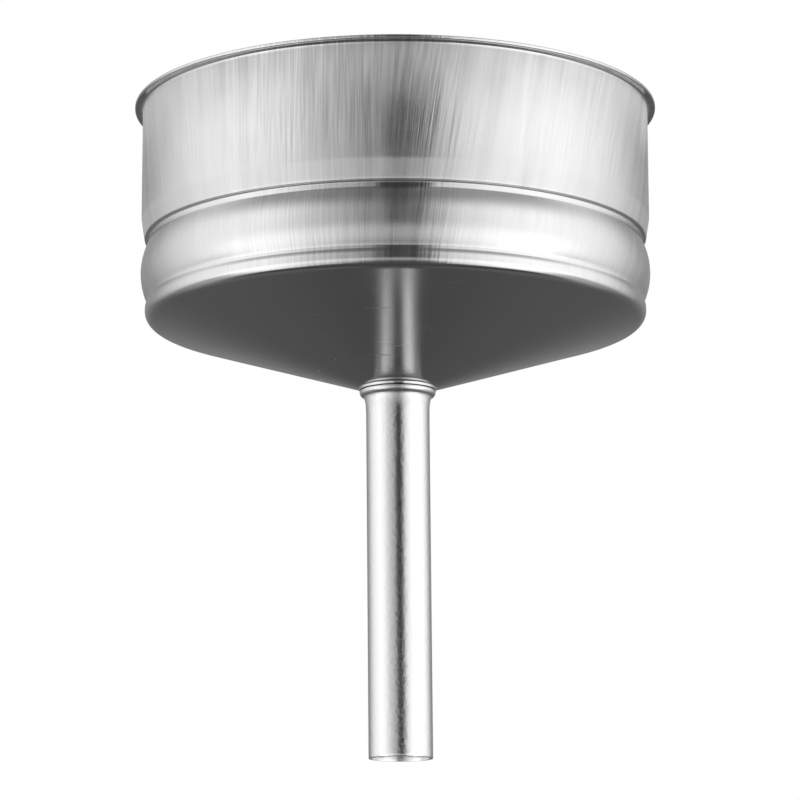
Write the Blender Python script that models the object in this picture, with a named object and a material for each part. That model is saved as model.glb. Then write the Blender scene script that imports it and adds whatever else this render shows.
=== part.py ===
"""Basket funnel of a stovetop coffee pot.

Three pieces share the Z axis, which points up, with Z = 0 at the top face of the rim flange:
a drawn sheet shell (flange, bowl, rolled grooves, cone), a perforated plate trapped in the
bead between the grooves, and a stem tube clinched through the hole in the cone.
Sizes are in metres.
"""
import math

import bpy
import bmesh
from mathutils import Vector
from mathutils.geometry import delaunay_2d_cdt

MM = 0.001

# Shell sheet
SHEET = 0.45 * MM
CLEARANCE = 0.3 * MM

# Rim and bowl wall
WALL_RADIUS = 32.87 * MM
FLANGE_WIDTH = 1.03 * MM
FLANGE_FILLET = 0.35 * MM
UPPER_GROOVE_Z = -17.3 * MM
UPPER_GROOVE_DEPTH = 1.6 * MM
SHOULDER_HEIGHT = 1.25 * MM

# Bead between the two grooves
BEAD_CREST_DROP = 5.05 * MM
LOWER_GROOVE_DROP = 8.85 * MM
LOWER_GROOVE_DEPTH = 1.0 * MM
GROOVE_ROOT_RADIUS = 0.1 * MM

# Foot of the bowl and cone
FOOT_STEP = 0.53 * MM
FOOT_HEIGHT = 0.95 * MM
FOOT_CORNER_RADIUS = 1.37 * MM
CONE_ANGLE = math.radians(17.6)

# Short lip turned down round the hole in the cone
LIP_BEND_RADIUS = 0.1 * MM
LIP_DROP = 0.1 * MM

# Stem tube
STEM_RADIUS = 4.07 * MM
STEM_WALL = 0.45 * MM
STEM_LENGTH = 46.5 * MM
NECK_SWELL = 0.13 * MM
COLLAR_WIDTH = 0.91 * MM
COLLAR_HEIGHT = 0.6 * MM
COLLAR_EDGE_RADIUS = 0.18 * MM
FLARE_WIDTH = 0.42 * MM
FLARE_HEIGHT = 1.55 * MM
CLINCH_WIDTH = 1.3 * MM
CLINCH_THICKNESS = 0.45 * MM

# Perforated plate
PLATE_SHEET = 0.5 * MM
SKIRT_TAIL = 0.8 * MM
HOLE_RADIUS = 0.75 * MM
HOLE_PITCH = 4.2 * MM
HOLE_MARGIN = 1.6 * MM

# Facets
BOWL_SEGMENTS = 60
STEM_SEGMENTS = 32
HOLE_SIDES = 6
BEND_STEP = 45.0
CURVE_STEP = 23.0

# Radii and heights that more than one piece is fitted to
UPPER_ROOT_RADIUS = WALL_RADIUS - UPPER_GROOVE_DEPTH
LOWER_ROOT_RADIUS = WALL_RADIUS - LOWER_GROOVE_DEPTH
SHOULDER_TOP = UPPER_GROOVE_Z + GROOVE_ROOT_RADIUS + SHOULDER_HEIGHT
BEAD_TOP = UPPER_GROOVE_Z - GROOVE_ROOT_RADIUS
BEAD_CREST = UPPER_GROOVE_Z - BEAD_CREST_DROP
LOWER_GROOVE_Z = UPPER_GROOVE_Z - LOWER_GROOVE_DROP
BEAD_BOTTOM = LOWER_GROOVE_Z + GROOVE_ROOT_RADIUS
FOOT_TOP = LOWER_GROOVE_Z - GROOVE_ROOT_RADIUS
CORNER_START = FOOT_TOP - FOOT_HEIGHT
FOOT_RADIUS = WALL_RADIUS - FOOT_STEP
NECK_RADIUS = STEM_RADIUS + NECK_SWELL
LIP_RADIUS = NECK_RADIUS + CLEARANCE + SHEET


def cone_underside(radius):
    """Height of the cone's outer surface, a line tangent to the foot's corner arc."""
    touch_radius = FOOT_RADIUS - FOOT_CORNER_RADIUS * (1.0 - math.sin(CONE_ANGLE))
    touch_height = CORNER_START - FOOT_CORNER_RADIUS * math.cos(CONE_ANGLE)
    return touch_height - (touch_radius - radius) * math.tan(CONE_ANGLE)


def turn(centre, radial, axial, start, stop, largest_step, outward=1.0):
    """Points on an elliptic arc with the unit normals that point away from the sheet.

    Angles are in degrees from +X; outward is -1 where the sheet lies outside the arc.
    """
    steps = math.ceil(abs(stop - start) / largest_step)
    samples = []
    for step in range(steps + 1):
        angle = math.radians(start + (stop - start) * step / steps)
        point = Vector((centre[0] + radial * math.cos(angle), centre[1] + axial * math.sin(angle)))
        normal = Vector((math.cos(angle) / radial, math.sin(angle) / axial)).normalized()
        samples.append((point, normal * outward))
    return samples


def bend(centre, radius, start, stop, outward=1.0):
    """Small round bend, in coarse steps."""
    return turn(centre, radius, radius, start, stop, BEND_STEP, outward)


def curve(centre, radial, axial, start, stop):
    """Wide elliptic curve of the rolled wall, in fine steps."""
    return turn(centre, radial, axial, start, stop, CURVE_STEP)


def shell_outer_path():
    """Outer side of the sheet from the flange's edge down to the lip, as points and normals."""
    down = Vector((0.0, -1.0))
    path = [(Vector((WALL_RADIUS + FLANGE_WIDTH, -SHEET)), down)]
    path += bend((WALL_RADIUS + FLANGE_FILLET, -SHEET - FLANGE_FILLET), FLANGE_FILLET, 90, 180, -1.0)

    # Shoulder, upper groove and the upper half of the bead
    root_radius = UPPER_ROOT_RADIUS + GROOVE_ROOT_RADIUS
    reach = WALL_RADIUS - root_radius
    path += curve((root_radius, SHOULDER_TOP), reach, SHOULDER_HEIGHT, 0, -90)
    path += bend((root_radius, UPPER_GROOVE_Z), GROOVE_ROOT_RADIUS, 90, 270, -1.0)
    path += curve((root_radius, BEAD_CREST), reach, BEAD_TOP - BEAD_CREST, 90, 0)

    # Lower half of the bead, lower groove and foot
    root_radius = LOWER_ROOT_RADIUS + GROOVE_ROOT_RADIUS
    reach = WALL_RADIUS - root_radius
    path += curve((root_radius, BEAD_CREST), reach, BEAD_CREST - BEAD_BOTTOM, 0, -90)
    path += bend((root_radius, LOWER_GROOVE_Z), GROOVE_ROOT_RADIUS, 90, 270, -1.0)
    path += bend_to_foot(root_radius)

    # Lip turned down round the hole
    touch_radius = LIP_RADIUS + LIP_BEND_RADIUS * (1.0 - math.sin(CONE_ANGLE))
    bend_height = cone_underside(touch_radius) - LIP_BEND_RADIUS * math.cos(CONE_ANGLE)
    bend_centre = (LIP_RADIUS + LIP_BEND_RADIUS, bend_height)
    path += bend(bend_centre, LIP_BEND_RADIUS, 90 + math.degrees(CONE_ANGLE), 180, -1.0)
    path.append((Vector((LIP_RADIUS, lip_end())), Vector((1.0, 0.0))))
    return without_repeats(path)


def bend_to_foot(root_radius):
    """Foot shoulder below the lower groove and the corner that leads into the cone."""
    reach = FOOT_RADIUS - root_radius
    shoulder = turn((root_radius, CORNER_START), reach, FOOT_HEIGHT, 90, 0, BEND_STEP)
    corner_centre = (FOOT_RADIUS - FOOT_CORNER_RADIUS, CORNER_START)
    cone_normal_angle = math.degrees(CONE_ANGLE) - 90.0
    corner = turn(corner_centre, FOOT_CORNER_RADIUS, FOOT_CORNER_RADIUS, 0, cone_normal_angle, CURVE_STEP)
    return shoulder + corner


def lip_end():
    """Height of the lip's lower edge."""
    return cone_underside(LIP_RADIUS) - LIP_BEND_RADIUS - LIP_DROP


def without_repeats(path):
    """The path without the second of two samples that fall on one point."""
    kept = [path[0]]
    for point, normal in path[1:]:
        if (point - kept[-1][0]).length > 0.001 * MM:
            kept.append((point, normal))
    return kept


def shell_outline():
    """Closed section of the shell: outer side downwards, then inner side upwards."""
    path = shell_outer_path()
    outer = [point for point, normal in path]
    inner = [point - normal * SHEET for point, normal in path]
    return outer + inner[::-1]


def stem_outline():
    """Closed section of the stem tube, outer side from the clinched flange down to the cut end."""
    clinch_edge = NECK_RADIUS + CLINCH_WIDTH
    cone_top = SHEET / math.cos(CONE_ANGLE) + CLEARANCE
    clinch_under_edge = cone_underside(clinch_edge) + cone_top
    clinch_under_neck = cone_underside(NECK_RADIUS) + cone_top
    collar_top = lip_end() - CLEARANCE
    collar_bottom = collar_top - COLLAR_HEIGHT
    collar_radius = STEM_RADIUS + COLLAR_WIDTH
    edge = COLLAR_EDGE_RADIUS
    end = collar_bottom - STEM_LENGTH
    bore = STEM_RADIUS - STEM_WALL
    flare_radius = STEM_RADIUS + FLARE_WIDTH
    neck_bore = NECK_RADIUS - STEM_WALL

    outline = [
        Vector((clinch_edge, clinch_under_edge + CLINCH_THICKNESS)),
        Vector((clinch_edge, clinch_under_edge)),
        Vector((NECK_RADIUS, clinch_under_neck)),
        Vector((NECK_RADIUS, collar_top)),
    ]
    for centre_height, start, stop in ((collar_top - edge, 90, 0), (collar_bottom + edge, 0, -90)):
        corner = bend((collar_radius - edge, centre_height), edge, start, stop)
        outline += [point for point, normal in corner]
    flare = curve((flare_radius, collar_bottom - FLARE_HEIGHT), FLARE_WIDTH, FLARE_HEIGHT, 90, 180)
    outline += [point for point, normal in flare]
    outline += [
        Vector((STEM_RADIUS, end)),
        Vector((bore, end)),
        Vector((bore, collar_bottom - FLARE_HEIGHT)),
        Vector((neck_bore, collar_bottom)),
        Vector((neck_bore, clinch_under_neck + CLINCH_THICKNESS)),
    ]
    return outline


def plate_side(offset):
    """Rounded corner and skirt of the plate, following the bead at the given offset inside it."""
    root_radius = UPPER_ROOT_RADIUS + GROOVE_ROOT_RADIUS
    radial = WALL_RADIUS - root_radius - offset
    axial = BEAD_TOP - BEAD_CREST - offset
    corner = curve((root_radius, BEAD_CREST), radial, axial, 90, 0)
    points = [point for point, normal in corner]
    points.append(points[-1] - Vector((0.0, SKIRT_TAIL)))
    return points


def hole_centres(limit):
    """Centres of a triangular pattern of holes that stay inside the radius limit."""
    row_height = HOLE_PITCH * math.sqrt(3.0) / 2.0
    rows = math.ceil(limit / row_height)
    columns = math.ceil(limit / HOLE_PITCH) + 1
    centres = []
    for row in range(-rows, rows + 1):
        for column in range(-columns, columns + 1):
            centre = Vector((HOLE_PITCH * (column + 0.5 * (row % 2)), row_height * row))
            if centre.length <= limit:
                centres.append(centre)
    return centres


def circle_points(centre, radius, sides):
    """Corners of a regular polygon about a centre, counter-clockwise."""
    points = []
    for side in range(sides):
        angle = 2.0 * math.pi * side / sides
        points.append(centre + Vector((radius * math.cos(angle), radius * math.sin(angle))))
    return points


def sheet_steel(name, colour, roughness):
    """Bare metal material with one colour and roughness."""
    material = bpy.data.materials.new(name)
    material.use_nodes = True
    shader = material.node_tree.nodes["Principled BSDF"]
    shader.inputs["Base Color"].default_value = (*colour, 1.0)
    shader.inputs["Metallic"].default_value = 1.0
    shader.inputs["Roughness"].default_value = roughness
    return material


def add_object(name, work, material):
    """Turn a bmesh into a smooth-shaded object with one material."""
    bmesh.ops.recalc_face_normals(work, faces=work.faces)
    mesh = bpy.data.meshes.new(name)
    work.to_mesh(mesh)
    work.free()
    mesh.materials.append(material)
    mesh.shade_smooth()
    mesh.set_sharp_from_angle(angle=math.radians(35.0))
    item = bpy.data.objects.new(name, mesh)
    bpy.context.scene.collection.objects.link(item)
    return item


def spin_strip(work, section, segments, closed):
    """Turn a section about Z into rings of quads; closed joins its last point to its first."""
    rings = []
    for point in section:
        ring = []
        for corner in circle_points(Vector((0.0, 0.0)), point.x, segments):
            ring.append(work.verts.new((corner.x, corner.y, point.y)))
        rings.append(ring)
    pairs = list(zip(rings, rings[1:]))
    if closed:
        pairs.append((rings[-1], rings[0]))
    for upper, lower in pairs:
        for index in range(segments):
            after = (index + 1) % segments
            work.faces.new((upper[index], lower[index], lower[after], upper[after]))
    return rings


def add_turned(name, outline, segments, material):
    """Solid of revolution from a closed section."""
    work = bmesh.new()
    spin_strip(work, outline, segments, True)
    return add_object(name, work, material)


def add_filter_plate(material):
    """Perforated disc with a rounded corner and a short skirt, made as one closed body."""
    outer_offset = SHEET + CLEARANCE
    outer = plate_side(outer_offset)
    inner = plate_side(outer_offset + PLATE_SHEET)
    work = bmesh.new()
    rings = spin_strip(work, outer + inner[::-1], BOWL_SEGMENTS, False)

    flat_radius = outer[0].x
    rim = circle_points(Vector((0.0, 0.0)), flat_radius, BOWL_SEGMENTS)
    points = list(rim)
    loops = [list(range(BOWL_SEGMENTS))]
    for centre in hole_centres(flat_radius - HOLE_RADIUS - HOLE_MARGIN):
        first = len(points)
        points += circle_points(centre, HOLE_RADIUS, HOLE_SIDES)
        loops.append(list(range(first, first + HOLE_SIDES)))
    edges = [(loop[i], loop[(i + 1) % len(loop)]) for loop in loops for i in range(len(loop))]
    triangles = delaunay_2d_cdt(points, edges, [], 0, 1e-9)[2]
    hole_of = {index: number for number, loop in enumerate(loops[1:]) for index in loop}
    solid = [t for t in triangles if not inside_one_hole(t, hole_of)]

    faces = []
    for ring, height in ((rings[0], outer[0].y), (rings[-1], inner[0].y)):
        holes = [work.verts.new((p.x, p.y, height)) for p in points[BOWL_SEGMENTS:]]
        faces.append(ring + holes)
    top, bottom = faces
    for a, b, c in solid:
        work.faces.new((top[a], top[b], top[c]))
        work.faces.new((bottom[c], bottom[b], bottom[a]))
    for loop in loops[1:]:
        for i, index in enumerate(loop):
            after = loop[(i + 1) % HOLE_SIDES]
            work.faces.new((top[after], top[index], bottom[index], bottom[after]))
    return add_object("filter_plate", work, material)


def inside_one_hole(triangle, hole_of):
    """True if all three corners lie on the same hole's outline."""
    numbers = {hole_of.get(index) for index in triangle}
    return len(numbers) == 1 and None not in numbers


def build():
    """Clear the scene and make the three pieces."""
    for item in list(bpy.data.objects):
        bpy.data.objects.remove(item, do_unlink=True)
    drawn = sheet_steel("drawn_sheet_steel", (0.60, 0.60, 0.59), 0.28)
    pressed = sheet_steel("perforated_sheet_steel", (0.58, 0.58, 0.57), 0.32)
    polished = sheet_steel("polished_tube_steel", (0.68, 0.68, 0.67), 0.12)
    add_turned("basket_shell", shell_outline(), BOWL_SEGMENTS, drawn)
    add_turned("stem_tube", stem_outline(), STEM_SEGMENTS, polished)
    add_filter_plate(pressed)


build()
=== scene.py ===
"""Basket funnel of a stovetop coffee pot: the drawn steel basket, its strainer plate and its stem."""
import math

import bpy
import numpy as np
from mathutils import Matrix, Vector
from mathutils.geometry import delaunay_2d_cdt


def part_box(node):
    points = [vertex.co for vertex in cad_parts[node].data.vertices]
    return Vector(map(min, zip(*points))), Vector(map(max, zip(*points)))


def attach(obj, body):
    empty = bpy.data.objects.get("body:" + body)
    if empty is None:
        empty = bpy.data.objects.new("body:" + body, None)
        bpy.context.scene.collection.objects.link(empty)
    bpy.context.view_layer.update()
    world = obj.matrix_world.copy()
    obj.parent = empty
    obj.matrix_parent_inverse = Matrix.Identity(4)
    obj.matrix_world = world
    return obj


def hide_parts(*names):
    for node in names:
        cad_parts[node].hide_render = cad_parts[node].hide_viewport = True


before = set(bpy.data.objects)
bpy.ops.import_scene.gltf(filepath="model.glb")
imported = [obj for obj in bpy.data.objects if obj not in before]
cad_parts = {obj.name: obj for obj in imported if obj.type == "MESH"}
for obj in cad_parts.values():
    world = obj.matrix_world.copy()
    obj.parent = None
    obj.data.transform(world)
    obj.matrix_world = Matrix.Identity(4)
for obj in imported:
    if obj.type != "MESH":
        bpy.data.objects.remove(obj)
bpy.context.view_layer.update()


# ---------------------------------------------------------------------------------------------
# Basket shell.  One piece of 0.45 mm stainless sheet, deep-drawn into a cup with a cone for its
# bottom, the lip flanged outwards and two creases rolled into the wall to trap the strainer.
# The die leaves the wall satin with up-and-down draw lines; the cone keeps the sheet's own gloss.
# ---------------------------------------------------------------------------------------------

MM = 0.001
SHEET = 0.45

shell_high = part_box("basket_shell")[1]
RIM_RADIUS = shell_high.x / MM
RIM_TOP = shell_high.z / MM

FLANGE_WIDTH = 1.02
FLANGE_FILLET = 0.35
FLANGE_EDGE_ROUND = 0.16
WALL_RADIUS = RIM_RADIUS - FLANGE_WIDTH

TAPER_TOP = RIM_TOP - 14.95
TAPER_BOTTOM = RIM_TOP - 17.6
TAPER_ANGLE = 8.5
SHOULDER_RADIUS = 0.2
SHOULDER_TURN = 75.0

UPPER_LAND_RADIUS = WALL_RADIUS - 0.89
UPPER_LAND_TOP = RIM_TOP - 17.87
BEAD_RADIUS = 8.02
BEAD_CREST_RADIUS = WALL_RADIUS + 0.03
BEAD_CREST_HEIGHT = RIM_TOP - 22.25
LOWER_LAND_RADIUS = WALL_RADIUS - 0.78
LOWER_LAND_WIDTH = 0.35

FOOT_RADIUS = WALL_RADIUS - 0.56
FOOT_ROUND = 1.69
FOOT_CREST_HEIGHT = RIM_TOP - 26.98
CORNER_ROUND = 1.29
CORNER_HEIGHT = RIM_TOP - 27.25
CONE_ANGLE = 17.6

LIP_RADIUS = 4.95
LIP_BEND = 0.14
LIP_END = RIM_TOP - 37.21

SHELL_SEGMENTS = 384
OUTER_STEPS = 160
INNER_STEPS = 70


def arc(centre, radius, start, stop, count=24):
    """Points centre + radius (cos a, sin a), with a running evenly from start to stop degrees."""
    angle = np.radians(np.linspace(start, stop, count))
    return np.stack([centre[0] + radius * np.cos(angle), centre[1] + radius * np.sin(angle)], axis=1)


def along(line):
    """Distance run along a line of points up to each point."""
    return np.concatenate([[0.0], np.cumsum(np.linalg.norm(np.diff(line, axis=0), axis=1))])


def evenly(line, spacing):
    """The same line with points at an even spacing, found by straight interpolation."""
    run = along(line)
    wanted = np.linspace(0.0, run[-1], max(2, int(run[-1] / spacing) + 1))
    return np.stack([np.interp(wanted, run, line[:, 0]), np.interp(wanted, run, line[:, 1])], axis=1)


def relaxed(line, spacing, reach):
    """Line averaged with its neighbours by a bell curve of the given reach, its two ends held."""
    width = int(4 * reach / spacing)
    bell = np.exp(-0.5 * (np.arange(-width, width + 1) * spacing / reach) ** 2)
    bell /= bell.sum()
    before = 2 * line[0] - line[width:0:-1]
    after = 2 * line[-1] - line[-2:-width - 2:-1]
    padded = np.concatenate([before, line, after])
    return np.stack([np.convolve(padded[:, i], bell, mode="valid") for i in (0, 1)], axis=1)


def normals_of(line):
    """Unit normals on the left of the direction of travel: the tangent turned a quarter."""
    tangent = np.gradient(line, axis=0)
    tangent /= np.linalg.norm(tangent, axis=1)[:, None]
    return np.stack([-tangent[:, 1], tangent[:, 0]], axis=1)


def thinned(line, count, bend_weight):
    """Count points spaced closely where the line bends: equal steps of length plus turn x weight."""
    normal = normals_of(line)
    turn = np.linalg.norm(np.diff(normal, axis=0), axis=1)
    step = np.linalg.norm(np.diff(line, axis=0), axis=1) + bend_weight * turn
    run = np.concatenate([[0.0], np.cumsum(step)])
    wanted = np.linspace(0.0, run[-1], count)
    return np.stack([np.interp(wanted, run, line[:, 0]), np.interp(wanted, run, line[:, 1])], axis=1)


def joined(*parts):
    """Parts of a line run together, without points that fall on the one before."""
    line = np.concatenate([np.asarray(part, float).reshape(-1, 2) for part in parts])
    keep = np.concatenate([[True], np.linalg.norm(np.diff(line, axis=0), axis=1) > 1e-6])
    return line[keep]


def flange_edge():
    """Cut edge of the flange: flat top, two rounded corners, then the flat underside."""
    edge = RIM_RADIUS - FLANGE_EDGE_ROUND
    upper = (edge, RIM_TOP - FLANGE_EDGE_ROUND)
    lower = (edge, RIM_TOP - SHEET + FLANGE_EDGE_ROUND)
    bend = WALL_RADIUS + FLANGE_FILLET
    return joined(
        (bend, RIM_TOP),
        arc(upper, FLANGE_EDGE_ROUND, 90, 0, 7),
        arc(lower, FLANGE_EDGE_ROUND, 0, -90, 7),
        (bend, RIM_TOP - SHEET),
    )


def shell_outside():
    """Outer face of the sheet, from the fillet under the flange down to the lip round the stem.

    Wall line, taper, tight shoulder, land, bead arc, land, foot arc, corner arc, cone line, lip.
    """
    fillet_centre = (WALL_RADIUS + FLANGE_FILLET, RIM_TOP - SHEET - FLANGE_FILLET)
    taper_radius = WALL_RADIUS - (TAPER_TOP - TAPER_BOTTOM) * math.tan(math.radians(TAPER_ANGLE))
    tilt = math.radians(TAPER_ANGLE)
    shoulder_centre = (
        taper_radius - SHOULDER_RADIUS * math.cos(tilt),
        TAPER_BOTTOM + SHOULDER_RADIUS * math.sin(tilt),
    )
    bead_centre = (BEAD_CREST_RADIUS - BEAD_RADIUS, BEAD_CREST_HEIGHT)
    bead_start = math.degrees(math.acos((UPPER_LAND_RADIUS - bead_centre[0]) / BEAD_RADIUS))
    bead_stop = -math.degrees(math.acos((LOWER_LAND_RADIUS - bead_centre[0]) / BEAD_RADIUS))
    bead = arc(bead_centre, BEAD_RADIUS, bead_start, bead_stop, 90)
    foot_start = math.degrees(math.acos(1.0 - (FOOT_RADIUS - LOWER_LAND_RADIUS) / FOOT_ROUND))
    foot = arc((FOOT_RADIUS - FOOT_ROUND, FOOT_CREST_HEIGHT), FOOT_ROUND, foot_start, 0, 20)
    foot[0, 1] = min(foot[0, 1], bead[-1, 1] - LOWER_LAND_WIDTH)
    corner = arc((FOOT_RADIUS - CORNER_ROUND, CORNER_HEIGHT), CORNER_ROUND, 0, CONE_ANGLE - 90, 30)

    bend_radius = LIP_RADIUS + LIP_BEND * (1.0 - math.sin(math.radians(CONE_ANGLE)))
    drop = (corner[-1, 0] - bend_radius) * math.tan(math.radians(CONE_ANGLE))
    bend_height = corner[-1, 1] - drop - LIP_BEND * math.cos(math.radians(CONE_ANGLE))
    lip_bend = arc((LIP_RADIUS + LIP_BEND, bend_height), LIP_BEND, 90 + CONE_ANGLE, 180, 8)
    return joined(
        arc(fillet_centre, FLANGE_FILLET, 90, 180, 12),
        (WALL_RADIUS, TAPER_TOP),
        arc(shoulder_centre, SHOULDER_RADIUS, -TAPER_ANGLE, -SHOULDER_TURN, 16),
        (UPPER_LAND_RADIUS, UPPER_LAND_TOP),
        bead,
        foot,
        corner,
        lip_bend,
        (LIP_RADIUS, LIP_END),
    )


def turned(name, section, segments, marks):
    """Closed section carried round the Z axis: x = r cos a, y = r sin a, z = height, in millimetres.

    marks is a dict of attribute name to an array of section points x segments (x 3 for a vector).
    """
    count = len(section)
    angle = np.arange(segments) * 2.0 * math.pi / segments
    radius = section[:, 0][:, None]
    place = np.empty((count, segments, 3))
    place[..., 0] = radius * np.cos(angle)
    place[..., 1] = radius * np.sin(angle)
    place[..., 2] = section[:, 1][:, None]

    row, column = np.meshgrid(np.arange(count), np.arange(segments), indexing="ij")
    below = (row + 1) % count
    beside = (column + 1) % segments
    corners = [(row, column), (below, column), (below, beside), (row, beside)]
    quads = np.stack([i * segments + j for i, j in corners], axis=-1).reshape(-1, 4)
    return surface(name, place.reshape(-1, 3) * MM, quads, marks)


SHARP_ANGLE = 40.0


def surface(name, place, faces, marks):
    """Mesh object at the origin from an array of places and one of faces, smooth where it is fair."""
    mesh = bpy.data.meshes.new(name)
    sides = faces.shape[1]
    mesh.vertices.add(len(place))
    mesh.vertices.foreach_set("co", place.astype(np.float32).ravel())
    mesh.loops.add(faces.size)
    mesh.loops.foreach_set("vertex_index", faces.astype(np.int32).ravel())
    mesh.polygons.add(len(faces))
    mesh.polygons.foreach_set("loop_start", np.arange(0, faces.size, sides, dtype=np.int32))
    mesh.update(calc_edges=True)
    mesh.validate()
    for label, values in marks.items():
        kind, key = ("FLOAT_VECTOR", "vector") if values.ndim == 3 else ("FLOAT", "value")
        attribute = mesh.attributes.new(label, kind, "POINT")
        attribute.data.foreach_set(key, values.astype(np.float32).ravel())
    mesh.shade_smooth()
    mesh.set_sharp_from_angle(angle=math.radians(SHARP_ANGLE))
    item = bpy.data.objects.new(name, mesh)
    bpy.context.scene.collection.objects.link(item)
    return item


def shift_sideways(item, amount):
    """Moves each vertex along X by amount(height), both in millimetres."""
    place = np.empty(len(item.data.vertices) * 3, np.float32)
    item.data.vertices.foreach_get("co", place)
    place = place.reshape(-1, 3)
    place[:, 0] += amount(place[:, 2] / MM) * MM
    item.data.vertices.foreach_set("co", place.ravel())
    item.data.update()


def smooth(low, high, value):
    """Smooth step from 0 at low to 1 at high: 3t^2 - 2t^3."""
    t = np.clip((value - low) / (high - low), 0.0, 1.0)
    return t * t * (3.0 - 2.0 * t)


# The outer face is eased a little at its bends; the inner face is a sheet's thickness in from a
# rounder copy of it, as bent sheet is.
FINE = 0.02
OUTSIDE_EASE = 0.05
INSIDE_EASE = 0.28
outside = relaxed(evenly(shell_outside(), FINE), FINE, OUTSIDE_EASE)
soft_line = relaxed(outside, FINE, INSIDE_EASE)
inside = (soft_line - normals_of(soft_line) * SHEET)[::-1]
inside[-1] = (WALL_RADIUS + FLANGE_FILLET, RIM_TOP)
inside[0, 1] = outside[-1, 1]
section = joined(
    flange_edge(),
    thinned(outside, OUTER_STEPS, 0.9)[1:],
    thinned(inside, INNER_STEPS, 1.5)[:-1],
)

# The draw lines run down the wall.  Round the front they lean over, more towards the right, as
# the cup turned a little in the die; the grain follows the wall by its angle round the axis.
FRONT_LEAN = 4.5
FRONT_LEAN_PLACE = 2.0
FRONT_LEAN_WIDTH = 6.0
SIDE_LEAN = 13.0
LEAN_PIVOT = -9.0
around = np.arange(SHELL_SEGMENTS) * 2.0 * math.pi / SHELL_SEGMENTS
front = np.degrees(np.arctan2(np.cos(around), -np.sin(around)))
lean = FRONT_LEAN * (1.0 + np.tanh((front - FRONT_LEAN_PLACE) / FRONT_LEAN_WIDTH))
lean += SIDE_LEAN * smooth(25.0, 75.0, front)
lean -= SIDE_LEAN * smooth(-25.0, -75.0, front)
lean *= smooth(170.0, 110.0, np.abs(front))
level = section[:, 1]
height = level[:, None]
swung = around - np.tan(np.radians(lean)) * (height - LEAN_PIVOT) / WALL_RADIUS
grain = np.stack([
    WALL_RADIUS * np.cos(swung),
    WALL_RADIUS * np.sin(swung),
    np.broadcast_to(height, swung.shape),
], axis=-1)

# How satin the sheet is at each height, as a roughness: dullest just under the flange and on the
# taper, glossier on the flange, in the crease over the bead, and on the foot.  Going down the
# wall, each row's roughness takes over smoothly between its two heights.
WALL_ROUGHNESS = 0.29
UNDER_FLANGE_EXTRA = 0.17
SATIN_BANDS = [
    ("flange", 0.17, RIM_TOP - 0.85, RIM_TOP - 0.6),
    ("taper", 0.36, TAPER_TOP + 0.1, TAPER_TOP - 0.5),
    ("crease", 0.13, UPPER_LAND_TOP + 0.05, UPPER_LAND_TOP - 0.1),
    ("bead", 0.25, UPPER_LAND_TOP - 0.55, UPPER_LAND_TOP - 1.2),
    ("foot", 0.17, FOOT_CREST_HEIGHT + 1.4, FOOT_CREST_HEIGHT + 1.1),
]
satin = WALL_ROUGHNESS + UNDER_FLANGE_EXTRA * smooth(RIM_TOP - 10.0, RIM_TOP - 1.0, level)
for _, roughness, start, stop in SATIN_BANDS:
    satin += (roughness - satin) * smooth(start, stop, level)
satin = np.broadcast_to(satin[:, None], swung.shape)

# How bold the draw lines are: boldest on the upper wall round the front and left of it, faint on
# the sides and back, and half rubbed out on the taper, bead and foot.
FAINT_LINES = 0.25
BOLD_EXTRA = 0.75
RIGHT_EXTRA = 0.3
RUBBED_LINES = 0.45
UNRUBBED_EXTRA = 0.55
streaky = FAINT_LINES + BOLD_EXTRA * smooth(-45.0, -18.0, front) * smooth(20.0, 8.0, front)
streaky += RIGHT_EXTRA * smooth(40.0, 60.0, front) * smooth(110.0, 80.0, front)
rubbed = RUBBED_LINES + UNRUBBED_EXTRA * smooth(TAPER_TOP - 0.5, TAPER_TOP + 3.0, level)
streaky = rubbed[:, None] * streaky
shell = turned("drawn_basket_shell", section, SHELL_SEGMENTS,
               {"grain": grain, "satin": satin, "streaky": streaky})

# The hole in the cone was punched a quarter of a millimetre off centre.
HOLE_OFFSET = 0.25
shift_sideways(
    shell, lambda height: HOLE_OFFSET * smooth(CORNER_HEIGHT - 1.0, LIP_END + 0.5, height))


def linear(code):
    """sRGB hex colour as linear RGBA: ((c + 0.055) / 1.055) ^ 2.4 above the toe, c / 12.92 below."""
    parts = [int(code[i:i + 2], 16) / 255.0 for i in (1, 3, 5)]
    return (*[c / 12.92 if c <= 0.04045 else ((c + 0.055) / 1.055) ** 2.4 for c in parts], 1.0)


def add(tree, kind, links=None, values=None, **settings):
    """Adds a node with its settings, socket values and links; a link is a socket it reads from."""
    node = tree.nodes.new("ShaderNode" + kind)
    for key, value in settings.items():
        setattr(node, key, value)
    for key, value in (values or {}).items():
        node.inputs[key].default_value = value
    for key, socket in (links or {}).items():
        tree.links.new(socket, node.inputs[key])
    return node


def bare(name):
    """New material with its tree and an empty Principled shader wired to the output."""
    material = bpy.data.materials.new(name)
    material.use_nodes = True
    tree = material.node_tree
    return material, tree, tree.nodes["Principled BSDF"]


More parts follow.
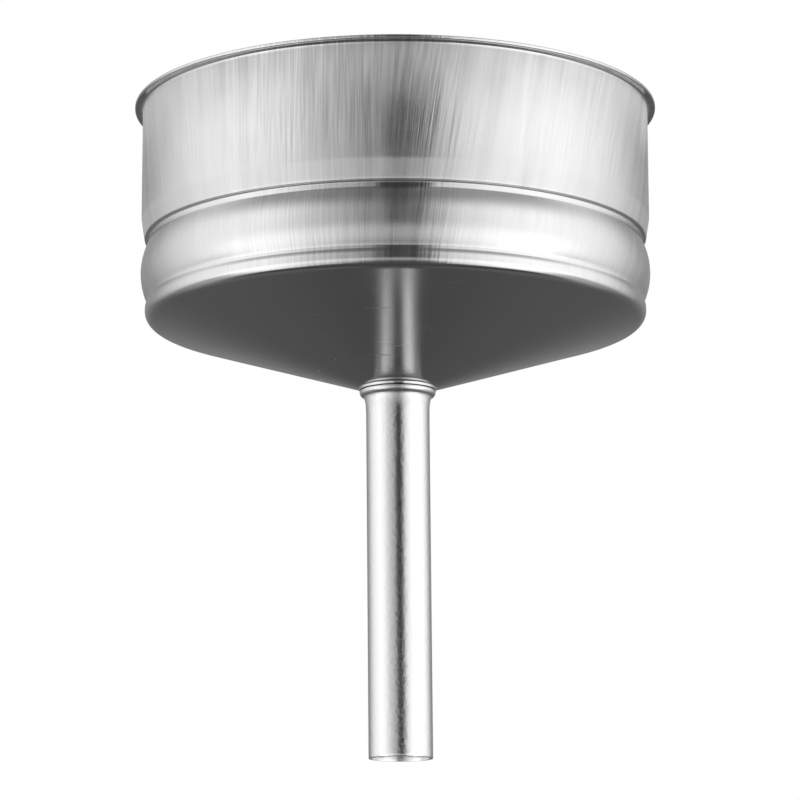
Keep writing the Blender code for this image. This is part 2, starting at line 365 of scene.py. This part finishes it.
# Cold-drawn 18/8 stainless: neutral grey metal with a satin face.  Upright draw lines, 0.15 to
# 2 mm apart, spread every reflection sideways and break it into streaks; the lines are rougher
# near the flange, where the sheet slid furthest over the die.
steel, tree, shader = bare("cold_drawn_stainless")
shader.inputs["Metallic"].default_value = 1.0
shader.inputs["Anisotropic"].default_value = 0.6
grain_mark = add(tree, "Attribute", attribute_name="grain")
satin_mark = add(tree, "Attribute", attribute_name="satin")
streak_mark = add(tree, "Attribute", attribute_name="streaky")
stretched = add(tree, "Mapping", {"Vector": grain_mark.outputs["Vector"]},
                {"Scale": (1.0, 1.0, 0.03)})
lines = add(tree, "TexNoise", {"Vector": stretched.outputs["Vector"]},
            {"Scale": 0.5, "Detail": 4.0, "Roughness": 0.68})
hairs = add(tree, "TexNoise", {"Vector": stretched.outputs["Vector"]},
            {"Scale": 4.5, "Detail": 1.0, "Roughness": 0.5})
clouds = add(tree, "TexNoise", {"Vector": grain_mark.outputs["Vector"]},
             {"Scale": 0.13, "Detail": 3.0, "Roughness": 0.55})
line_height = add(tree, "Math", {0: lines.outputs["Fac"], 1: streak_mark.outputs["Fac"]},
                  operation="MULTIPLY")
bump = add(tree, "Bump", {"Height": line_height.outputs[0]},
           {"Strength": 1.0, "Distance": 0.1 * MM})
tree.links.new(bump.outputs["Normal"], shader.inputs["Normal"])
tone = add(tree, "MapRange", {"Value": hairs.outputs["Fac"]},
           {"From Min": 0.3, "From Max": 0.7, "To Min": -0.5, "To Max": 0.5})
swing = add(tree, "Math", {0: tone.outputs[0], 1: streak_mark.outputs["Fac"]}, {2: 0.5},
            operation="MULTIPLY_ADD")
colour = add(tree, "Mix", {0: swing.outputs[0]},
             {6: linear("#C8C8C8"), 7: linear("#E4E4E4")}, data_type="RGBA")
tree.links.new(colour.outputs[2], shader.inputs["Base Color"])
patchy = add(tree, "MapRange", {"Value": clouds.outputs["Fac"]},
             {"From Min": 0.3, "From Max": 0.7, "To Min": 0.88, "To Max": 1.12})
torn = add(tree, "MapRange", {"Value": lines.outputs["Fac"]},
           {"From Min": 0.35, "From Max": 0.65, "To Min": 0.84, "To Max": 1.18})
uneven = add(tree, "Math", {0: torn.outputs[0], 1: patchy.outputs[0]}, operation="MULTIPLY")
rough = add(tree, "Math", {0: satin_mark.outputs["Fac"], 1: uneven.outputs[0]}, operation="MULTIPLY")
tree.links.new(rough.outputs[0], shader.inputs["Roughness"])
tangent = add(tree, "Tangent", direction_type="RADIAL", axis="Z")
tree.links.new(tangent.outputs[0], shader.inputs["Tangent"])
shell.data.materials.append(steel)

# The cone was held flat by the punch and keeps the mill's bright finish: glossy, with a haze of
# cleaning hairlines and a few specks of dust.
mill, tree, shader = bare("bright_mill_stainless")
spot = add(tree, "TexCoord")
specks = add(tree, "TexVoronoi", {"Vector": spot.outputs["Object"]},
             {"Scale": 420.0, "Randomness": 1.0})
speck_pick = add(tree, "SeparateColor", {"Color": specks.outputs["Color"]})
speck_size = add(tree, "MapRange", {"Value": speck_pick.outputs["Red"]},
                 {"From Min": 0.6, "From Max": 1.0, "To Min": 0.0, "To Max": 0.075})
speck = add(tree, "Math", {0: specks.outputs["Distance"], 1: speck_size.outputs[0]},
            operation="LESS_THAN")
turned_one = add(tree, "Mapping", {"Vector": spot.outputs["Object"]},
                 {"Rotation": (0.0, 0.0, 0.5), "Scale": (90.0, 2600.0, 90.0)})
scuffs = add(tree, "TexNoise", {"Vector": turned_one.outputs["Vector"]},
             {"Scale": 1.0, "Detail": 2.0})
scuff = add(tree, "MapRange", {"Value": scuffs.outputs["Fac"]},
            {"From Min": 0.69, "From Max": 0.76, "To Min": 0.0, "To Max": 0.35})
haze = add(tree, "TexNoise", {"Vector": spot.outputs["Object"]},
           {"Scale": 70.0, "Detail": 5.0, "Roughness": 0.6})
dust = add(tree, "Math", {0: speck.outputs[0]}, {1: 0.3}, operation="MULTIPLY")
marks = add(tree, "Math", {0: dust.outputs[0], 1: scuff.outputs[0]}, operation="MAXIMUM")
metal = add(tree, "Math", {1: dust.outputs[0]}, {0: 1.0}, operation="SUBTRACT")
tree.links.new(metal.outputs[0], shader.inputs["Metallic"])
shader.inputs["Base Color"].default_value = linear("#D6D6D5")
gloss = add(tree, "MapRange", {"Value": haze.outputs["Fac"]},
            {"From Min": 0.3, "From Max": 0.7, "To Min": 0.12, "To Max": 0.17})
rough = add(tree, "Math", {0: gloss.outputs[0], 1: marks.outputs[0]}, operation="ADD")
tree.links.new(rough.outputs[0], shader.inputs["Roughness"])
shell.data.materials.append(mill)

# The mill finish starts where the foot's corner turns under, and covers the cone and the lip.
UNDERSIDE_FACING = -0.75
MILL_FINISH_TOP = CORNER_HEIGHT - 0.5
LIP_REACH = LIP_RADIUS + 0.8
centres = np.empty((len(shell.data.polygons), 3), np.float32)
shell.data.polygons.foreach_get("center", centres.ravel())
facing = np.empty((len(shell.data.polygons), 3), np.float32)
shell.data.polygons.foreach_get("normal", facing.ravel())
under = (facing[:, 2] < UNDERSIDE_FACING) & (centres[:, 2] < MILL_FINISH_TOP * MM)
lip = np.linalg.norm(centres[:, :2], axis=1) < LIP_REACH * MM
shell.data.polygons.foreach_set("material_index", (under | lip).astype(np.int32))
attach(shell, "root")
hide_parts("basket_shell")


# ---------------------------------------------------------------------------------------------
# Strainer plate.  A pressed disc of 0.5 mm stainless with a turned-down skirt, punched with a
# triangular pattern of 1.5 mm holes, snapped into the bead of the shell.
# ---------------------------------------------------------------------------------------------

plate_low, plate_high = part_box("filter_plate")
PLATE_SHEET = 0.5
PLATE_TOP = plate_high.z / MM
PLATE_SKIRT_END = plate_low.z / MM
PLATE_RADIUS = plate_high.x / MM
PLATE_CORNER_WIDTH = 1.6
PLATE_CORNER_HEIGHT = 4.2
HOLE_RADIUS = 0.75
HOLE_ROLL = 0.1
HOLE_PITCH = 4.2
HOLE_MARGIN = 2.35
HOLE_LIMIT = PLATE_RADIUS - PLATE_CORNER_WIDTH - HOLE_MARGIN
HOLE_ROWS = 9
HOLE_SIDES = 20
PLATE_SEGMENTS = 180
CORNER_STEPS = 24


def plate_side(offset, count):
    """Quarter ellipse from the flat of the plate to its skirt, offset inwards, then the skirt."""
    angle = np.radians(np.linspace(90.0, 0.0, count))
    flat_radius = PLATE_RADIUS - PLATE_CORNER_WIDTH
    crown = PLATE_TOP - PLATE_CORNER_HEIGHT
    corner = np.stack([
        flat_radius + (PLATE_CORNER_WIDTH - offset) * np.cos(angle),
        crown + (PLATE_CORNER_HEIGHT - offset) * np.sin(angle),
    ], axis=1)
    return joined(corner, (PLATE_RADIUS - offset, PLATE_SKIRT_END))


def ring_of(radius, sides):
    """Corners of a regular polygon of the given radius about the origin."""
    angle = np.arange(sides) * 2.0 * math.pi / sides
    return np.stack([radius * np.cos(angle), radius * np.sin(angle)], axis=1)


def plate_mesh():
    """Turned side, and two flat faces with holes joined through the sheet.

    Hole centres are a triangular lattice: pitch x (column + half on odd rows), pitch x sin 60 x row.
    """
    either_way = np.arange(-HOLE_ROWS, HOLE_ROWS + 1)
    row, column = np.meshgrid(either_way, either_way, indexing="ij")
    centre = np.stack([
        HOLE_PITCH * (column + 0.5 * (row % 2)),
        HOLE_PITCH * math.sin(math.pi / 3) * row,
    ], axis=-1).reshape(-1, 2)
    centre = centre[np.linalg.norm(centre, axis=1) <= HOLE_LIMIT]
    holes = len(centre)

    side = np.concatenate([
        plate_side(0.0, CORNER_STEPS), plate_side(PLATE_SHEET, CORNER_STEPS)[::-1]])
    rim = ring_of(side[0, 0], PLATE_SEGMENTS)
    steps = len(side)
    angle = np.arange(PLATE_SEGMENTS) * 2.0 * math.pi / PLATE_SEGMENTS
    turned_part = np.stack([
        side[:, 0][:, None] * np.cos(angle),
        side[:, 0][:, None] * np.sin(angle),
        np.broadcast_to(side[:, 1][:, None], (steps, PLATE_SEGMENTS)),
    ], axis=-1).reshape(-1, 3)
    i, j = np.meshgrid(np.arange(steps - 1), np.arange(PLATE_SEGMENTS), indexing="ij")
    k = (j + 1) % PLATE_SEGMENTS
    n = PLATE_SEGMENTS
    side_quads = np.stack(
        [i * n + j, (i + 1) * n + j, (i + 1) * n + k, i * n + k], axis=-1).reshape(-1, 4)

    outline = centre[:, None, :] + ring_of(HOLE_RADIUS + HOLE_ROLL, HOLE_SIDES)[None]
    flat = np.concatenate([rim, outline.reshape(-1, 2)])
    rim_edges = np.stack([np.arange(n), (np.arange(n) + 1) % n], axis=1)
    corner = np.arange(HOLE_SIDES)
    hole_edges = (n + HOLE_SIDES * np.arange(holes))[:, None, None] + np.stack(
        [corner, (corner + 1) % HOLE_SIDES], axis=1)[None]
    edges = np.concatenate([rim_edges, hole_edges.reshape(-1, 2)])
    found = delaunay_2d_cdt([Vector(p) for p in flat], edges.tolist(), [], 0, 1e-9)[2]
    triangles = np.array(found)
    owner = np.where(triangles >= n, (triangles - n) // HOLE_SIDES, -1)
    solid = ~((owner[:, 0] >= 0) & (owner[:, 0] == owner[:, 1]) & (owner[:, 1] == owner[:, 2]))
    triangles = triangles[solid]

    # Rings of each hole from the top face to the bottom face: rolled edge, wall, rolled edge
    radii = HOLE_RADIUS + HOLE_ROLL * np.array([1.0, 0.3, 0.0, 0.0, 0.3, 1.0])
    drops = np.array([0.0, 0.3, 1.0, -1.0, -0.3, 0.0]) * HOLE_ROLL
    heights = np.where(np.arange(6) < 3, PLATE_TOP, PLATE_TOP - PLATE_SHEET) - drops
    unit = ring_of(1.0, HOLE_SIDES)
    rings = np.empty((6, holes, HOLE_SIDES, 3))
    rings[..., :2] = centre[None, :, None, :] + radii[:, None, None, None] * unit[None, None]
    rings[..., 2] = heights[:, None, None]
    first = len(turned_part)
    size = holes * HOLE_SIDES
    level, hole, at = np.meshgrid(np.arange(5), np.arange(holes), corner, indexing="ij")
    here = first + level * size + hole * HOLE_SIDES
    after = (at + 1) % HOLE_SIDES
    hole_quads = np.stack(
        [here + at, here + after, here + size + after, here + size + at], axis=-1).reshape(-1, 4)

    top_index = np.where(triangles < n, triangles, triangles - n + first)
    last_ring = (steps - 1) * n
    low_index = np.where(triangles < n, triangles + last_ring, triangles - n + first + 5 * size)
    three = np.concatenate([top_index, low_index[:, ::-1]])
    place = np.concatenate([turned_part, rings.reshape(-1, 3)]) * MM
    four = np.concatenate([side_quads, hole_quads])
    split = np.concatenate([four[:, [0, 1, 2]], four[:, [0, 2, 3]]])
    return place, np.concatenate([split, three])


plate_place, plate_faces = plate_mesh()
plate = surface("strainer_plate", plate_place, plate_faces, {})

# Punched stainless sheet: cold-rolled, a soft grey gloss with rolling marks one way across it.
pressed, tree, shader = bare("punched_stainless_sheet")
shader.inputs["Base Color"].default_value = linear("#CDCCCA")
shader.inputs["Metallic"].default_value = 1.0
spot = add(tree, "TexCoord")
rolled = add(tree, "Mapping", {"Vector": spot.outputs["Object"]},
             {"Scale": (30.0, 2500.0, 2500.0)})
marks = add(tree, "TexNoise", {"Vector": rolled.outputs["Vector"]}, {"Scale": 1.0, "Detail": 3.0})
bump = add(tree, "Bump", {"Height": marks.outputs["Fac"]}, {"Strength": 1.0, "Distance": 0.008 * MM})
tree.links.new(bump.outputs["Normal"], shader.inputs["Normal"])
patches = add(tree, "TexNoise", {"Vector": spot.outputs["Object"]}, {"Scale": 90.0, "Detail": 3.0})
soft = add(tree, "MapRange", {"Value": patches.outputs["Fac"]},
           {"From Min": 0.3, "From Max": 0.7, "To Min": 0.24, "To Max": 0.34})
tree.links.new(soft.outputs["Result"], shader.inputs["Roughness"])
plate.data.materials.append(pressed)
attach(plate, "root")
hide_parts("filter_plate")


# ---------------------------------------------------------------------------------------------
# Stem.  Bright-drawn stainless tube, 8 mm across, upset into a collar below the cone's lip and
# clinched over inside the basket; the cut end is turned square and the edge just broken.
# ---------------------------------------------------------------------------------------------

stem_low, stem_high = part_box("stem_tube")
STEM_RADIUS = 4.07
STEM_WALL = 0.45
STEM_END = stem_low.z / MM
CLINCH_RADIUS = stem_high.x / MM
CLINCH_TOP = stem_high.z / MM
CLINCH_THICKNESS = 0.45
NECK_RADIUS = 4.2
COLLAR_TOP = LIP_END - 0.06
COLLAR_BOTTOM = LIP_END - 0.86
COLLAR_RADIUS = 4.9
CREASE_RADIUS = 4.4
FLARE_REACH = 0.6
FLARE_LENGTH = 3.5
STEM_LEAN = 0.38
STEM_SEGMENTS = 192
CLINCH_EDGE = 0.1
COLLAR_EDGE_ROUND = 0.16
END_BREAK = 0.06
BORE_BREAK = 0.08


def stem_outside():
    """Outer line of the tube: clinched flange, neck, rounded collar, crease, trumpet, tube, end.

    The trumpet fades as r = tube + (crease - tube) exp(-drop / reach).
    """
    slope = math.tan(math.radians(CONE_ANGLE))
    under_edge = CLINCH_TOP - CLINCH_THICKNESS
    under_neck = under_edge - (CLINCH_RADIUS - NECK_RADIUS) * slope
    collar_belly = COLLAR_TOP - 0.2
    angle = np.radians(np.linspace(0.0, -85.0, 16))
    lower = np.stack([
        CREASE_RADIUS + (COLLAR_RADIUS - CREASE_RADIUS) * np.cos(angle),
        collar_belly + (collar_belly - COLLAR_BOTTOM) * np.sin(angle),
    ], axis=1)
    drop = np.linspace(0.06, FLARE_LENGTH, 60)
    trumpet = np.stack([
        STEM_RADIUS + (CREASE_RADIUS - STEM_RADIUS) * np.exp(-drop / FLARE_REACH),
        COLLAR_BOTTOM - drop,
    ], axis=1)
    return joined(
        (CLINCH_RADIUS, CLINCH_TOP - CLINCH_EDGE),
        (CLINCH_RADIUS, under_edge + CLINCH_EDGE),
        (CLINCH_RADIUS - CLINCH_EDGE, under_edge - 0.02),
        (NECK_RADIUS, under_neck),
        (NECK_RADIUS, COLLAR_TOP),
        arc((COLLAR_RADIUS - COLLAR_EDGE_ROUND, COLLAR_TOP - COLLAR_EDGE_ROUND),
            COLLAR_EDGE_ROUND, 90, 0, 8),
        lower,
        trumpet,
        (STEM_RADIUS, STEM_END + END_BREAK),
        (STEM_RADIUS - END_BREAK, STEM_END),
    )


def stem_inside():
    """Bore of the tube from its cut end up to the clinched flange inside the basket."""
    bore = STEM_RADIUS - STEM_WALL
    return joined(
        (bore + BORE_BREAK, STEM_END),
        (bore, STEM_END + BORE_BREAK),
        (bore, COLLAR_BOTTOM - FLARE_LENGTH),
        (NECK_RADIUS - STEM_WALL, COLLAR_BOTTOM),
        (NECK_RADIUS - STEM_WALL, CLINCH_TOP - 1.1),
        (NECK_RADIUS - STEM_WALL + 0.25, CLINCH_TOP - 0.75),
        (CLINCH_RADIUS - CLINCH_EDGE, CLINCH_TOP),
    )


STEM_FINE = 0.01
STEM_OUTER_EASE = 0.025
STEM_INNER_EASE = 0.04
STEM_OUTER_STEPS = 150
STEM_INNER_STEPS = 50
stem_outer = relaxed(evenly(stem_outside(), STEM_FINE), STEM_FINE, STEM_OUTER_EASE)
stem_inner = relaxed(evenly(stem_inside(), STEM_FINE), STEM_FINE, STEM_INNER_EASE)
stem_section = joined(
    thinned(stem_outer, STEM_OUTER_STEPS, 0.5),
    thinned(stem_inner, STEM_INNER_STEPS, 0.5),
)

# The upset collar and the trumpet below it were left satin by the forming tool.
formed = smooth(COLLAR_BOTTOM - 2.6, COLLAR_BOTTOM - 0.9, stem_section[:, 1])
formed = formed[:, None] * np.ones(STEM_SEGMENTS)
stem = turned("stem_tube_bright", stem_section, STEM_SEGMENTS, {"formed": formed})

# The tube follows the hole's offset, and below the collar it leans a hair out of square.
shift_sideways(stem, lambda height: HOLE_OFFSET + np.clip(COLLAR_BOTTOM - height, 0.0, None)
               * math.tan(math.radians(STEM_LEAN)))

# Bright-drawn tube: near-mirror with a faint mottle from handling and the draw bench.
bright, tree, shader = bare("bright_drawn_tube")
shader.inputs["Base Color"].default_value = linear("#E3E3E3")
shader.inputs["Metallic"].default_value = 1.0
spot = add(tree, "TexCoord")
mottle = add(tree, "TexNoise", {"Vector": spot.outputs["Object"]},
             {"Scale": 1500.0, "Detail": 5.0, "Roughness": 0.7})
bump = add(tree, "Bump", {"Height": mottle.outputs["Fac"]},
           {"Strength": 1.0, "Distance": 0.045 * MM})
tree.links.new(bump.outputs["Normal"], shader.inputs["Normal"])
blotch = add(tree, "TexNoise", {"Vector": spot.outputs["Object"]}, {"Scale": 260.0, "Detail": 4.0})
polish = add(tree, "MapRange", {"Value": blotch.outputs["Fac"]},
             {"From Min": 0.35, "From Max": 0.75, "To Min": 0.05, "To Max": 0.12})
formed_mark = add(tree, "Attribute", attribute_name="formed")
duller = add(tree, "Math", {0: formed_mark.outputs["Fac"]}, {1: 0.24}, operation="MULTIPLY")
rough = add(tree, "Math", {0: polish.outputs[0], 1: duller.outputs[0]}, operation="ADD")
tree.links.new(rough.outputs[0], shader.inputs["Roughness"])
stem.data.materials.append(bright)
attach(stem, "root")
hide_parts("stem_tube")


# ---------------------------------------------------------------------------------------------
# Studio: a pale floor well below the piece and two overhead fills, inside a tent of soft light
# that stands open at the front.  Metal mirrors the tent, so its levels are what shapes the looks.
# ---------------------------------------------------------------------------------------------

FLOOR_HEIGHT = -1.2
FLOOR_HALF = 14.0
FLOOR_GLOW = 0.62
FILL_SIZE = 1.2
FILL_LEFT_PLACE, FILL_LEFT_POWER = (-1.6, -1.0, 1.8), 14.0
FILL_RIGHT_PLACE, FILL_RIGHT_POWER = (1.6, -1.0, 1.8), 16.0

floor_place = np.array([(-1, -1), (1, -1), (1, 1), (-1, 1)]) * FLOOR_HALF
floor_place = np.concatenate([floor_place, np.full((4, 1), FLOOR_HEIGHT)], axis=1)
floor = surface("floor", floor_place, np.array([[0, 1, 2, 3]]), {})
paper, tree, shader = bare("pale_paper_floor")
shader.inputs["Base Color"].default_value = linear("#EDEDEB")
shader.inputs["Roughness"].default_value = 0.9
shader.inputs["Emission Color"].default_value = linear("#FFFFFF")
shader.inputs["Emission Strength"].default_value = FLOOR_GLOW
floor.data.materials.append(paper)
floor.visible_glossy = False


def fill(name, place, power):
    """Square soft light aimed at the piece; it lights the floor and isn't mirrored by the metal."""
    data = bpy.data.lights.new(name, "AREA")
    data.shape = "SQUARE"
    data.size = FILL_SIZE
    data.energy = power
    lamp = bpy.data.objects.new(name, data)
    bpy.context.scene.collection.objects.link(lamp)
    lamp.location = place
    lamp.rotation_euler = (-Vector(place)).to_track_quat("-Z", "Y").to_euler()
    lamp.visible_camera = False
    lamp.visible_glossy = False


fill("fill_left", FILL_LEFT_PLACE, FILL_LEFT_POWER)
fill("fill_right", FILL_RIGHT_PLACE, FILL_RIGHT_POWER)

world = bpy.data.worlds.new("soft_tent")
bpy.context.scene.world = world
world.use_nodes = True
tree = world.node_tree
tree.nodes.clear()


# Level of the tent by azimuth, in degrees from the front: the left side, the opening, the right.
TENT_LEVELS = [
    (-180, 0.0), (-145, 0.0), (-132, 0.22), (-112, 0.64), (-95, 1.05), (-75, 1.3), (-55, 1.15),
    (-38, 0.72), (-24, 0.5), (-11.5, 0.42), (-10, 0.0),
    (17, 0.0), (18.5, 0.78), (30, 0.97), (45, 1.25), (70, 1.42), (90, 1.3), (108, 0.85),
    (128, 0.3), (142, 0.0), (180, 0.0),
]
tent = add(tree, "ValToRGB")
ramp = tent.color_ramp
while len(ramp.elements) < len(TENT_LEVELS):
    ramp.elements.new(0.5)
for element, (degrees, level) in zip(ramp.elements, TENT_LEVELS):
    element.position = 0.5 + degrees / 360.0
    element.color = (level, level, level, 1.0)

# What shapes the light, step by step.  A step has a name, what it does, and what it reads: earlier
# steps or numbers.  EASE carries what it reads smoothly, from the place of its first number to
# that of its second, between the levels that its last two give.  Angles here are in radians.
BARE_LEVEL = 0.05
LIGHT_STEPS = [
    # the angle either side of the front; the opening there widens towards the floor
    ("south", "MULTIPLY", "north", -1.0),
    ("azimuth", "ARCTAN2", "east", "south"),
    ("spread", "ABSOLUTE", "azimuth"),
    ("widening", "EASE", "up", -0.35, -0.8, 0.0, 0.2),
    ("pulled_in", "SUBTRACT", "spread", "widening"),
    ("narrowed", "MAXIMUM", "pulled_in", 0.0),
    ("side", "SIGN", "east"),
    ("signed", "MULTIPLY", "narrowed", "side"),
    ("share", "MULTIPLY", "signed", 0.5 / math.pi),
    ("across", "ADD", "share", 0.5),
    # the tent's hem, lower at the sides, and its dimmer roof
    ("hem_drop", "EASE", "spread", 1.0, 1.8, 0.0, 0.1),
    ("sunk", "SUBTRACT", "up", "hem_drop"),
    ("hem", "EASE", "sunk", -0.86, -0.7, 0.0, 1.0),
    ("roof", "EASE", "up", 0.45, 0.8, 1.0, 0.28),
    ("tent_height", "MULTIPLY", "hem", "roof"),
    # a band of shade low on its two sides
    ("at_sides", "EASE", "spread", 1.25, 1.6, 0.0, 0.6),
    ("band_top", "EASE", "up", -0.2, -0.42, 0.0, 1.0),
    ("band_bottom", "EASE", "up", -0.74, -0.66, 0.0, 1.0),
    ("band", "MULTIPLY", "band_top", "band_bottom"),
    ("side_shade", "MULTIPLY", "at_sides", "band"),
    ("unshaded", "SUBTRACT", 1.0, "side_shade"),
    ("lit", "MULTIPLY", "tent_height", "unshaded"),
    ("tent_glow", "MULTIPLY", "tent", "lit"),
    # a glow low in front
    ("glow_top", "EASE", "up", 0.1, -0.2, 0.0, 0.32),
    ("glow_bottom", "EASE", "up", -0.3, -0.75, 1.0, 0.1),
    ("low_front", "MULTIPLY", "glow_top", "glow_bottom"),
    ("in_front", "EASE", "north", 0.1, -0.3, 0.0, 1.0),
    ("front_glow", "MULTIPLY", "low_front", "in_front"),
    # the wall behind, rising out of a dark floor, and the roof over it
    ("wall_rise", "EASE", "up", -0.5, 0.35, 0.03, 0.24),
    ("wall_sides", "EASE", "spread", 3.1, 2.6, 0.0, 0.06),
    ("back_wall", "ADD", "wall_rise", "wall_sides"),
    ("roof_rise", "EASE", "up", 0.5, 0.9, 0.0, 0.5),
    ("roof_behind", "EASE", "north", -0.05, 0.25, 0.0, 1.0),
    ("back_roof", "MULTIPLY", "roof_rise", "roof_behind"),
    ("behind", "EASE", "north", -0.1, 0.4, 0.0, 1.0),
    ("wall_glow", "MULTIPLY", "back_wall", "behind"),
    ("back_glow", "ADD", "back_roof", "wall_glow"),
    # all of them together, over a bare level everywhere
    ("tent_and_bare", "ADD", "tent_glow", BARE_LEVEL),
    ("front_and_back", "ADD", "front_glow", "back_glow"),
    ("light", "ADD", "tent_and_bare", "front_and_back"),
]
heading = add(tree, "TexCoord")
parts = add(tree, "SeparateXYZ", {"Vector": heading.outputs["Generated"]})
made = {name: parts.outputs[axis] for name, axis in (("east", "X"), ("north", "Y"), ("up", "Z"))}
made["tent"] = tent.outputs["Color"]
for name, job, *reads in LIGHT_STEPS:
    if job == "EASE":
        limits = dict(zip(("From Min", "From Max", "To Min", "To Max"), reads[1:]))
        step = add(tree, "MapRange", {"Value": made[reads[0]]}, limits,
                   interpolation_type="SMOOTHSTEP")
    else:
        links = {i: made[read] for i, read in enumerate(reads) if isinstance(read, str)}
        numbers = {i: read for i, read in enumerate(reads) if not isinstance(read, str)}
        step = add(tree, "Math", links, numbers, operation=job)
    made[name] = step.outputs[0]
tree.links.new(made["across"], tent.inputs["Fac"])

# What looks straight at the tent sees plain white; the metal and the floor get its shaped light.
shaped = add(tree, "Background", {"Strength": made["light"]}, {"Color": linear("#FFFFFF")})
pale = add(tree, "Background", values={"Color": linear("#FFFFFF"), "Strength": 1.0})
seen = add(tree, "LightPath")
mixed = add(tree, "MixShader",
            {0: seen.outputs["Is Camera Ray"], 1: shaped.outputs[0], 2: pale.outputs[0]})
add(tree, "OutputWorld", {"Surface": mixed.outputs[0]})

# Camera: long lens, a little below the piece and looking up at it.
CAMERA_PLACE = (0.00055, -0.42866, -0.1237)
CAMERA_PITCH = 11.25
CAMERA_ROLL = -0.13
LENS = 153.0
SENSOR_WIDTH = 36.0
NEAREST = 0.01
FURTHEST = 60.0
camera_data = bpy.data.cameras.new("camera")
camera_data.lens = LENS
camera_data.sensor_width = SENSOR_WIDTH
camera_data.clip_start = NEAREST
camera_data.clip_end = FURTHEST
camera = bpy.data.objects.new("camera", camera_data)
bpy.context.scene.collection.objects.link(camera)
pitch = Matrix.Rotation(math.radians(90.0 + CAMERA_PITCH), 4, "X")
roll = Matrix.Rotation(math.radians(CAMERA_ROLL), 4, "Z")
camera.matrix_world = Matrix.Translation(CAMERA_PLACE) @ pitch @ roll
bpy.context.scene.camera = camera
bpy.context.scene.view_settings.view_transform = "Standard"
